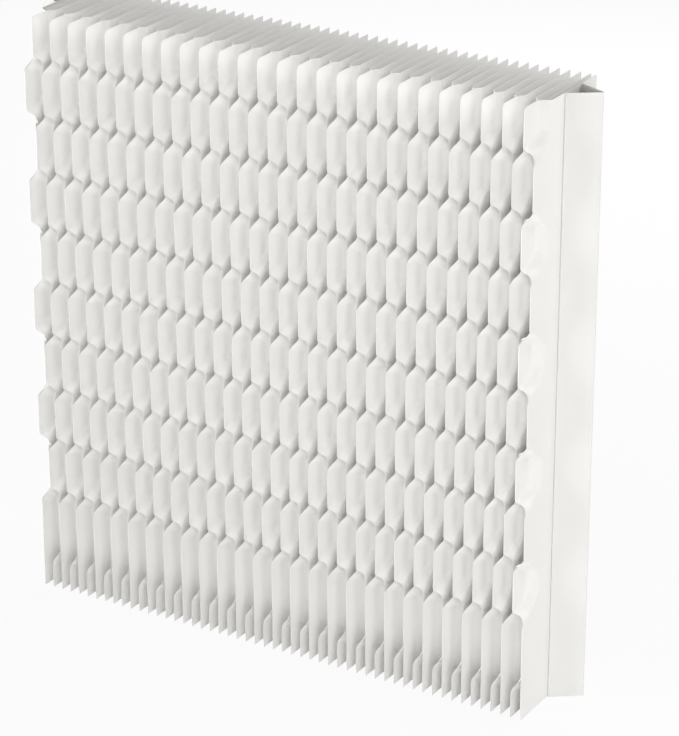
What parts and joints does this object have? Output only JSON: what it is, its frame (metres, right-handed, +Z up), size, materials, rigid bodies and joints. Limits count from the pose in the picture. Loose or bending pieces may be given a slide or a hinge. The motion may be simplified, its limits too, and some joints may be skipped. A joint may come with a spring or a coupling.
{
  "type": "pleated paper screen",
  "caption": "Free-standing room divider of upright paper leaves glued in a honeycomb along the front, with folded end grips; it opens and shuts like an accordion.",
  "frame": {"origin": "on the floor, at the middle of the open wall's length and depth", "axes": "+X along the wall from the left end to the right end, -Y towards the front with the cells, +Z up"},
  "size_m": [2.2222, 0.43, 2.2],
  "materials": {
    "leaf_paper": "matte warm white",
    "end_panel_paper": "matte warm white, heavier sheet",
    "grip_paper": "matte warm white, heavier sheet"
  },
  "bodies": {
    "left_end": {"left_end_panel": "end_panel_paper", "left_end_grip": "grip_paper"},
    "leaf_01": {"leaf_01": "leaf_paper"},
    "leaf_02": {"leaf_02": "leaf_paper"},
    "leaf_03": {"leaf_03": "leaf_paper"},
    "leaf_04": {"leaf_04": "leaf_paper"},
    "leaf_05": {"leaf_05": "leaf_paper"},
    "leaf_06": {"leaf_06": "leaf_paper"},
    "leaf_07": {"leaf_07": "leaf_paper"},
    "leaf_08": {"leaf_08": "leaf_paper"},
    "leaf_09": {"leaf_09": "leaf_paper"},
    "leaf_10": {"leaf_10": "leaf_paper"},
    "leaf_11": {"leaf_11": "leaf_paper"},
    "leaf_12": {"leaf_12": "leaf_paper"},
    "leaf_13": {"leaf_13": "leaf_paper"},
    "leaf_14": {"leaf_14": "leaf_paper"},
    "leaf_15": {"leaf_15": "leaf_paper"},
    "leaf_16": {"leaf_16": "leaf_paper"},
    "leaf_17": {"leaf_17": "leaf_paper"},
    "leaf_18": {"leaf_18": "leaf_paper"},
    "leaf_19": {"leaf_19": "leaf_paper"},
    "leaf_20": {"leaf_20": "leaf_paper"},
    "leaf_21": {"leaf_21": "leaf_paper"},
    "leaf_22": {"leaf_22": "leaf_paper"},
    "leaf_23": {"leaf_23": "leaf_paper"},
    "leaf_24": {"leaf_24": "leaf_paper"},
    "leaf_25": {"leaf_25": "leaf_paper"},
    "leaf_26": {"leaf_26": "leaf_paper"},
    "leaf_27": {"leaf_27": "leaf_paper"},
    "leaf_28": {"leaf_28": "leaf_paper"},
    "leaf_29": {"leaf_29": "leaf_paper"},
    "leaf_30": {"leaf_30": "leaf_paper"},
    "leaf_31": {"leaf_31": "leaf_paper"},
    "leaf_32": {"leaf_32": "leaf_paper"},
    "leaf_33": {"leaf_33": "leaf_paper"},
    "leaf_34": {"leaf_34": "leaf_paper"},
    "leaf_35": {"leaf_35": "leaf_paper"},
    "leaf_36": {"leaf_36": "leaf_paper"},
    "leaf_37": {"leaf_37": "leaf_paper"},
    "leaf_38": {"leaf_38": "leaf_paper"},
    "leaf_39": {"leaf_39": "leaf_paper"},
    "leaf_40": {"leaf_40": "leaf_paper"},
    "leaf_41": {"leaf_41": "leaf_paper"},
    "leaf_42": {"leaf_42": "leaf_paper"},
    "leaf_43": {"leaf_43": "leaf_paper"},
    "leaf_44": {"leaf_44": "leaf_paper"},
    "leaf_45": {"leaf_45": "leaf_paper"},
    "leaf_46": {"leaf_46": "leaf_paper"},
    "leaf_47": {"leaf_47": "leaf_paper"},
    "leaf_48": {"leaf_48": "leaf_paper"},
    "leaf_49": {"leaf_49": "leaf_paper"},
    "leaf_50": {"leaf_50": "leaf_paper"},
    "leaf_51": {"leaf_51": "leaf_paper"},
    "leaf_52": {"leaf_52": "leaf_paper"},
    "right_end": {"right_end_panel": "end_panel_paper", "right_end_grip": "grip_paper"}
  },
  "joints": [
    {"name": "stretch", "type": "slide", "parent": "left_end", "child": "right_end", "axis": [1, 0, 0], "range_m": [-1, 0], "deforming": ["left_end_panel", "right_end_panel"]},
    {"name": "leaf_01_slide", "type": "slide", "parent": "left_end", "child": "leaf_01", "axis": [1, 0, 0], "range_m": [-0.00962, 0], "deforming": ["leaf_01"]},
    {"name": "leaf_02_slide", "type": "slide", "parent": "left_end", "child": "leaf_02", "axis": [1, 0, 0], "range_m": [-0.02885, 0], "deforming": ["leaf_02"]},
    {"name": "leaf_03_slide", "type": "slide", "parent": "left_end", "child": "leaf_03", "axis": [1, 0, 0], "range_m": [-0.04808, 0], "deforming": ["leaf_03"]},
    {"name": "leaf_04_slide", "type": "slide", "parent": "left_end", "child": "leaf_04", "axis": [1, 0, 0], "range_m": [-0.06731, 0], "deforming": ["leaf_04"]},
    {"name": "leaf_05_slide", "type": "slide", "parent": "left_end", "child": "leaf_05", "axis": [1, 0, 0], "range_m": [-0.08654, 0], "deforming": ["leaf_05"]},
    {"name": "leaf_06_slide", "type": "slide", "parent": "left_end", "child": "leaf_06", "axis": [1, 0, 0], "range_m": [-0.10577, 0], "deforming": ["leaf_06"]},
    {"name": "leaf_07_slide", "type": "slide", "parent": "left_end", "child": "leaf_07", "axis": [1, 0, 0], "range_m": [-0.125, 0], "deforming": ["leaf_07"]},
    {"name": "leaf_08_slide", "type": "slide", "parent": "left_end", "child": "leaf_08", "axis": [1, 0, 0], "range_m": [-0.14423, 0], "deforming": ["leaf_08"]},
    {"name": "leaf_09_slide", "type": "slide", "parent": "left_end", "child": "leaf_09", "axis": [1, 0, 0], "range_m": [-0.16346, 0], "deforming": ["leaf_09"]},
    {"name": "leaf_10_slide", "type": "slide", "parent": "left_end", "child": "leaf_10", "axis": [1, 0, 0], "range_m": [-0.18269, 0], "deforming": ["leaf_10"]},
    {"name": "leaf_11_slide", "type": "slide", "parent": "left_end", "child": "leaf_11", "axis": [1, 0, 0], "range_m": [-0.20192, 0], "deforming": ["leaf_11"]},
    {"name": "leaf_12_slide", "type": "slide", "parent": "left_end", "child": "leaf_12", "axis": [1, 0, 0], "range_m": [-0.22115, 0], "deforming": ["leaf_12"]},
    {"name": "leaf_13_slide", "type": "slide", "parent": "left_end", "child": "leaf_13", "axis": [1, 0, 0], "range_m": [-0.24039, 0], "deforming": ["leaf_13"]},
    {"name": "leaf_14_slide", "type": "slide", "parent": "left_end", "child": "leaf_14", "axis": [1, 0, 0], "range_m": [-0.25962, 0], "deforming": ["leaf_14"]},
    {"name": "leaf_15_slide", "type": "slide", "parent": "left_end", "child": "leaf_15", "axis": [1, 0, 0], "range_m": [-0.27885, 0], "deforming": ["leaf_15"]},
    {"name": "leaf_16_slide", "type": "slide", "parent": "left_end", "child": "leaf_16", "axis": [1, 0, 0], "range_m": [-0.29808, 0], "deforming": ["leaf_16"]},
    {"name": "leaf_17_slide", "type": "slide", "parent": "left_end", "child": "leaf_17", "axis": [1, 0, 0], "range_m": [-0.31731, 0], "deforming": ["leaf_17"]},
    {"name": "leaf_18_slide", "type": "slide", "parent": "left_end", "child": "leaf_18", "axis": [1, 0, 0], "range_m": [-0.33654, 0], "deforming": ["leaf_18"]},
    {"name": "leaf_19_slide", "type": "slide", "parent": "left_end", "child": "leaf_19", "axis": [1, 0, 0], "range_m": [-0.35577, 0], "deforming": ["leaf_19"]},
    {"name": "leaf_20_slide", "type": "slide", "parent": "left_end", "child": "leaf_20", "axis": [1, 0, 0], "range_m": [-0.375, 0], "deforming": ["leaf_20"]},
    {"name": "leaf_21_slide", "type": "slide", "parent": "left_end", "child": "leaf_21", "axis": [1, 0, 0], "range_m": [-0.39423, 0], "deforming": ["leaf_21"]},
    {"name": "leaf_22_slide", "type": "slide", "parent": "left_end", "child": "leaf_22", "axis": [1, 0, 0], "range_m": [-0.41346, 0], "deforming": ["leaf_22"]},
    {"name": "leaf_23_slide", "type": "slide", "parent": "left_end", "child": "leaf_23", "axis": [1, 0, 0], "range_m": [-0.43269, 0], "deforming": ["leaf_23"]},
    {"name": "leaf_24_slide", "type": "slide", "parent": "left_end", "child": "leaf_24", "axis": [1, 0, 0], "range_m": [-0.45192, 0], "deforming": ["leaf_24"]},
    {"name": "leaf_25_slide", "type": "slide", "parent": "left_end", "child": "leaf_25", "axis": [1, 0, 0], "range_m": [-0.47115, 0], "deforming": ["leaf_25"]},
    {"name": "leaf_26_slide", "type": "slide", "parent": "left_end", "child": "leaf_26", "axis": [1, 0, 0], "range_m": [-0.49039, 0], "deforming": ["leaf_26"]},
    {"name": "leaf_27_slide", "type": "slide", "parent": "left_end", "child": "leaf_27", "axis": [1, 0, 0], "range_m": [-0.50962, 0], "deforming": ["leaf_27"]},
    {"name": "leaf_28_slide", "type": "slide", "parent": "left_end", "child": "leaf_28", "axis": [1, 0, 0], "range_m": [-0.52885, 0], "deforming": ["leaf_28"]},
    {"name": "leaf_29_slide", "type": "slide", "parent": "left_end", "child": "leaf_29", "axis": [1, 0, 0], "range_m": [-0.54808, 0], "deforming": ["leaf_29"]},
    {"name": "leaf_30_slide", "type": "slide", "parent": "left_end", "child": "leaf_30", "axis": [1, 0, 0], "range_m": [-0.56731, 0], "deforming": ["leaf_30"]},
    {"name": "leaf_31_slide", "type": "slide", "parent": "left_end", "child": "leaf_31", "axis": [1, 0, 0], "range_m": [-0.58654, 0], "deforming": ["leaf_31"]},
    {"name": "leaf_32_slide", "type": "slide", "parent": "left_end", "child": "leaf_32", "axis": [1, 0, 0], "range_m": [-0.60577, 0], "deforming": ["leaf_32"]},
    {"name": "leaf_33_slide", "type": "slide", "parent": "left_end", "child": "leaf_33", "axis": [1, 0, 0], "range_m": [-0.625, 0], "deforming": ["leaf_33"]},
    {"name": "leaf_34_slide", "type": "slide", "parent": "left_end", "child": "leaf_34", "axis": [1, 0, 0], "range_m": [-0.64423, 0], "deforming": ["leaf_34"]},
    {"name": "leaf_35_slide", "type": "slide", "parent": "left_end", "child": "leaf_35", "axis": [1, 0, 0], "range_m": [-0.66346, 0], "deforming": ["leaf_35"]},
    {"name": "leaf_36_slide", "type": "slide", "parent": "left_end", "child": "leaf_36", "axis": [1, 0, 0], "range_m": [-0.68269, 0], "deforming": ["leaf_36"]},
    {"name": "leaf_37_slide", "type": "slide", "parent": "left_end", "child": "leaf_37", "axis": [1, 0, 0], "range_m": [-0.70192, 0], "deforming": ["leaf_37"]},
    {"name": "leaf_38_slide", "type": "slide", "parent": "left_end", "child": "leaf_38", "axis": [1, 0, 0], "range_m": [-0.72115, 0], "deforming": ["leaf_38"]},
    {"name": "leaf_39_slide", "type": "slide", "parent": "left_end", "child": "leaf_39", "axis": [1, 0, 0], "range_m": [-0.74039, 0], "deforming": ["leaf_39"]},
    {"name": "leaf_40_slide", "type": "slide", "parent": "left_end", "child": "leaf_40", "axis": [1, 0, 0], "range_m": [-0.75962, 0], "deforming": ["leaf_40"]},
    {"name": "leaf_41_slide", "type": "slide", "parent": "left_end", "child": "leaf_41", "axis": [1, 0, 0], "range_m": [-0.77885, 0], "deforming": ["leaf_41"]},
    {"name": "leaf_42_slide", "type": "slide", "parent": "left_end", "child": "leaf_42", "axis": [1, 0, 0], "range_m": [-0.79808, 0], "deforming": ["leaf_42"]},
    {"name": "leaf_43_slide", "type": "slide", "parent": "left_end", "child": "leaf_43", "axis": [1, 0, 0], "range_m": [-0.81731, 0], "deforming": ["leaf_43"]},
    {"name": "leaf_44_slide", "type": "slide", "parent": "left_end", "child": "leaf_44", "axis": [1, 0, 0], "range_m": [-0.83654, 0], "deforming": ["leaf_44"]},
    {"name": "leaf_45_slide", "type": "slide", "parent": "left_end", "child": "leaf_45", "axis": [1, 0, 0], "range_m": [-0.85577, 0], "deforming": ["leaf_45"]},
    {"name": "leaf_46_slide", "type": "slide", "parent": "left_end", "child": "leaf_46", "axis": [1, 0, 0], "range_m": [-0.875, 0], "deforming": ["leaf_46"]},
    {"name": "leaf_47_slide", "type": "slide", "parent": "left_end", "child": "leaf_47", "axis": [1, 0, 0], "range_m": [-0.89423, 0], "deforming": ["leaf_47"]},
    {"name": "leaf_48_slide", "type": "slide", "parent": "left_end", "child": "leaf_48", "axis": [1, 0, 0], "range_m": [-0.91346, 0], "deforming": ["leaf_48"]},
    {"name": "leaf_49_slide", "type": "slide", "parent": "left_end", "child": "leaf_49", "axis": [1, 0, 0], "range_m": [-0.93269, 0], "deforming": ["leaf_49"]},
    {"name": "leaf_50_slide", "type": "slide", "parent": "left_end", "child": "leaf_50", "axis": [1, 0, 0], "range_m": [-0.95192, 0], "deforming": ["leaf_50"]},
    {"name": "leaf_51_slide", "type": "slide", "parent": "left_end", "child": "leaf_51", "axis": [1, 0, 0], "range_m": [-0.97115, 0], "deforming": ["leaf_51"]},
    {"name": "leaf_52_slide", "type": "slide", "parent": "left_end", "child": "leaf_52", "axis": [1, 0, 0], "range_m": [-0.99039, 0], "deforming": ["leaf_52"]}
  ],
  "couplings": [
    {"joint": "leaf_01_slide", "follows": "stretch", "ratio": 0.0096154},
    {"joint": "leaf_02_slide", "follows": "stretch", "ratio": 0.028846},
    {"joint": "leaf_03_slide", "follows": "stretch", "ratio": 0.048077},
    {"joint": "leaf_04_slide", "follows": "stretch", "ratio": 0.067308},
    {"joint": "leaf_05_slide", "follows": "stretch", "ratio": 0.086538},
    {"joint": "leaf_06_slide", "follows": "stretch", "ratio": 0.10577},
    {"joint": "leaf_07_slide", "follows": "stretch", "ratio": 0.125},
    {"joint": "leaf_08_slide", "follows": "stretch", "ratio": 0.14423},
    {"joint": "leaf_09_slide", "follows": "stretch", "ratio": 0.16346},
    {"joint": "leaf_10_slide", "follows": "stretch", "ratio": 0.18269},
    {"joint": "leaf_11_slide", "follows": "stretch", "ratio": 0.20192},
    {"joint": "leaf_12_slide", "follows": "stretch", "ratio": 0.22115},
    {"joint": "leaf_13_slide", "follows": "stretch", "ratio": 0.24038},
    {"joint": "leaf_14_slide", "follows": "stretch", "ratio": 0.25962},
    {"joint": "leaf_15_slide", "follows": "stretch", "ratio": 0.27885},
    {"joint": "leaf_16_slide", "follows": "stretch", "ratio": 0.29808},
    {"joint": "leaf_17_slide", "follows": "stretch", "ratio": 0.31731},
    {"joint": "leaf_18_slide", "follows": "stretch", "ratio": 0.33654},
    {"joint": "leaf_19_slide", "follows": "stretch", "ratio": 0.35577},
    {"joint": "leaf_20_slide", "follows": "stretch", "ratio": 0.375},
    {"joint": "leaf_21_slide", "follows": "stretch", "ratio": 0.39423},
    {"joint": "leaf_22_slide", "follows": "stretch", "ratio": 0.41346},
    {"joint": "leaf_23_slide", "follows": "stretch", "ratio": 0.43269},
    {"joint": "leaf_24_slide", "follows": "stretch", "ratio": 0.45192},
    {"joint": "leaf_25_slide", "follows": "stretch", "ratio": 0.47115},
    {"joint": "leaf_26_slide", "follows": "stretch", "ratio": 0.49038},
    {"joint": "leaf_27_slide", "follows": "stretch", "ratio": 0.50962},
    {"joint": "leaf_28_slide", "follows": "stretch", "ratio": 0.52885},
    {"joint": "leaf_29_slide", "follows": "stretch", "ratio": 0.54808},
    {"joint": "leaf_30_slide", "follows": "stretch", "ratio": 0.56731},
    {"joint": "leaf_31_slide", "follows": "stretch", "ratio": 0.58654},
    {"joint": "leaf_32_slide", "follows": "stretch", "ratio": 0.60577},
    {"joint": "leaf_33_slide", "follows": "stretch", "ratio": 0.625},
    {"joint": "leaf_34_slide", "follows": "stretch", "ratio": 0.64423},
    {"joint": "leaf_35_slide", "follows": "stretch", "ratio": 0.66346},
    {"joint": "leaf_36_slide", "follows": "stretch", "ratio": 0.68269},
    {"joint": "leaf_37_slide", "follows": "stretch", "ratio": 0.70192},
    {"joint": "leaf_38_slide", "follows": "stretch", "ratio": 0.72115},
    {"joint": "leaf_39_slide", "follows": "stretch", "ratio": 0.74038},
    {"joint": "leaf_40_slide", "follows": "stretch", "ratio": 0.75962},
    {"joint": "leaf_41_slide", "follows": "stretch", "ratio": 0.77885},
    {"joint": "leaf_42_slide", "follows": "stretch", "ratio": 0.79808},
    {"joint": "leaf_43_slide", "follows": "stretch", "ratio": 0.81731},
    {"joint": "leaf_44_slide", "follows": "stretch", "ratio": 0.83654},
    {"joint": "leaf_45_slide", "follows": "stretch", "ratio": 0.85577},
    {"joint": "leaf_46_slide", "follows": "stretch", "ratio": 0.875},
    {"joint": "leaf_47_slide", "follows": "stretch", "ratio": 0.89423},
    {"joint": "leaf_48_slide", "follows": "stretch", "ratio": 0.91346},
    {"joint": "leaf_49_slide", "follows": "stretch", "ratio": 0.93269},
    {"joint": "leaf_50_slide", "follows": "stretch", "ratio": 0.95192},
    {"joint": "leaf_51_slide", "follows": "stretch", "ratio": 0.97115},
    {"joint": "leaf_52_slide", "follows": "stretch", "ratio": 0.99038}
  ]
}
